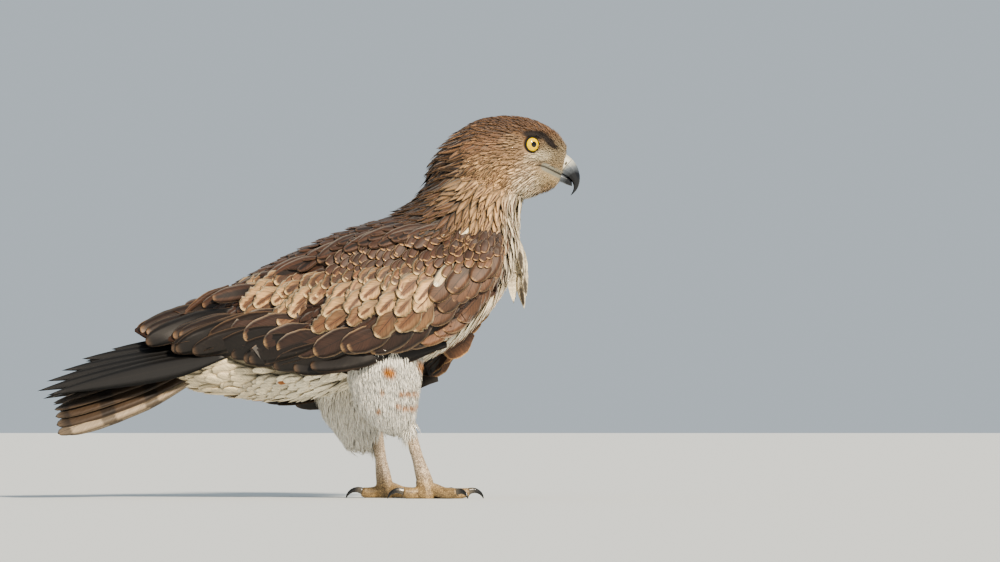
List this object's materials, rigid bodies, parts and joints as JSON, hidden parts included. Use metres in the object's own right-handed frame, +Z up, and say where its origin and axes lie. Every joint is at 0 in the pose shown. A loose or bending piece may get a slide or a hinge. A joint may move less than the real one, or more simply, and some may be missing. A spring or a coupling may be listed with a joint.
{
  "type": "short-toed snake eagle, perched, as a still life-size model",
  "caption": "Perched short-toed snake eagle, life size, wings folded, body level and head turned forward; it stands on its own toes on a flat floor.",
  "frame": {"origin": "middle of the model's bounding box in plan, on the floor that the toes rest on", "axes": "+X forward along the body towards the bill, +Y towards the bird's left side, +Z up"},
  "size_m": [0.594, 0.1984, 0.4214],
  "materials": {
    "brown_plumage": "short overlapping feathers, warm umber brown with pale edges and fine dark shafts",
    "cream_plumage": "soft cream-white feathers with rufous-brown spots and short bars",
    "wing_coverts": "scalloped sandy-brown feathers with dark centres and pale ragged tips",
    "dark_quills": "long black-brown flight feathers with a slight sheen",
    "scaled_skin": "pale grey-beige skin with small net-like scales, scutes on the toes",
    "horn_grey": "smooth blue-grey skin at the base of the bill",
    "horn_black": "polished dark horn, grey to black",
    "eye_yellow": "glossy bright yellow iris with a round black pupil"
  },
  "bodies": {
    "root": {"bill_lower": "horn_black", "bill_upper": "horn_black", "breast_plume": "brown_plumage", "cere": "horn_grey", "claw_hallux_left": "horn_black", "claw_hallux_right": "horn_black", "claw_inner_left": "horn_black", "claw_inner_right": "horn_black", "claw_middle_left": "horn_black", "claw_middle_right": "horn_black", "claw_outer_left": "horn_black", "claw_outer_right": "horn_black", "eye_left": "eye_yellow", "eye_right": "eye_yellow", "foot_left": "scaled_skin", "foot_right": "scaled_skin", "head": "brown_plumage", "neck": "brown_plumage", "primaries_left": "dark_quills", "primaries_right": "dark_quills", "shank_left": "scaled_skin", "shank_right": "scaled_skin", "tail": "dark_quills", "thigh_left": "cream_plumage", "thigh_right": "cream_plumage", "trunk": "cream_plumage", "wing_left": "wing_coverts", "wing_right": "wing_coverts"}
  },
  "joints": []
}
